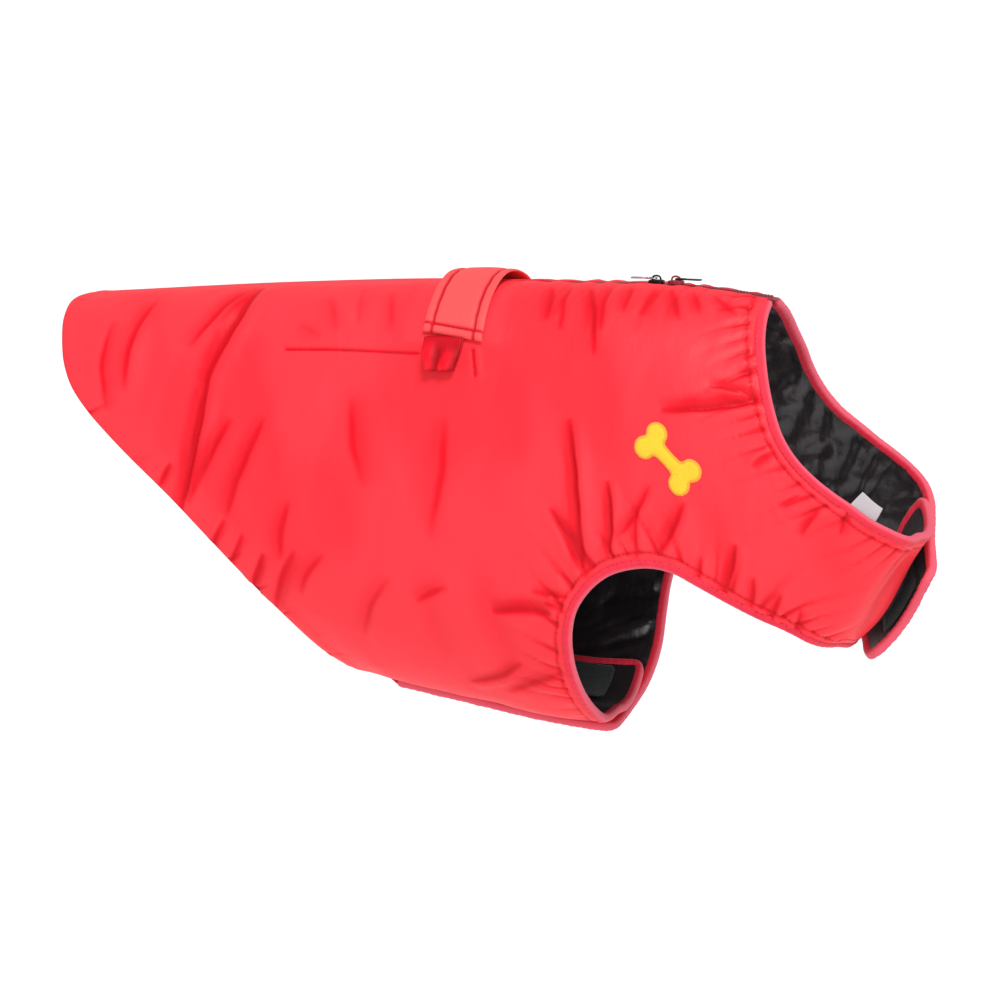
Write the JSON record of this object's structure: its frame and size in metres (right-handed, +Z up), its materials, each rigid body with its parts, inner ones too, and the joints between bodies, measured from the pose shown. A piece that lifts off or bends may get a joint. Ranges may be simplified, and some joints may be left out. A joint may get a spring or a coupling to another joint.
{
  "type": "dog jacket",
  "caption": "Padded jacket for a small dog with a zip at the nape, bound edges, and a chest strap and belly flap that close with hook and loop.",
  "frame": {"origin": "on the lining under the spine seam at the withers, where the jacket hangs on the wearer", "axes": "+X to the head, +Y to the dog's left, +Z up"},
  "size_m": [0.4983, 0.1614, 0.2534],
  "materials": {
    "shell": "woven nylon, soft sheen",
    "lining": "black taffeta, shiny",
    "binding": "elastic tape, matt",
    "hook": "hook and loop, matt",
    "facing": "brushed, matt",
    "label": "satin tape",
    "zip_tape": "woven tape, matt",
    "metal": "polished",
    "dark_metal": "dark enamel",
    "painted_metal": "red enamel"
  },
  "bodies": {
    "jacket": {"right_shell": "shell", "left_shell": "shell", "right_lining": "lining", "left_lining": "lining", "right_binding": "binding", "left_binding": "binding", "left_strap_hook": "hook", "right_strap_pile": "hook", "right_strap_facing": "facing", "left_flap_hook": "hook", "right_flap_pile": "hook", "right_flap_facing": "facing", "label": "label", "zip_tape": "zip_tape", "rear_slider": "dark_metal", "front_slider": "painted_metal", "back_strap": "shell", "gathered_loop": "shell"},
    "rear_pull_tab": {"rear_pull": "metal"},
    "front_pull_tab": {"front_pull": "painted_metal"}
  },
  "joints": [
    {"name": "rear_pull_hinge", "type": "hinge", "parent": "jacket", "child": "rear_pull_tab", "pos_m": [-0.0075, 0, 0.00737], "axis": [0, 1, 0], "range_deg": [0, 90]},
    {"name": "front_pull_hinge", "type": "hinge", "parent": "jacket", "child": "front_pull_tab", "pos_m": [0.00353, 0, 0.00732], "axis": [0, -1, 0], "range_deg": [0, 90]}
  ]
}
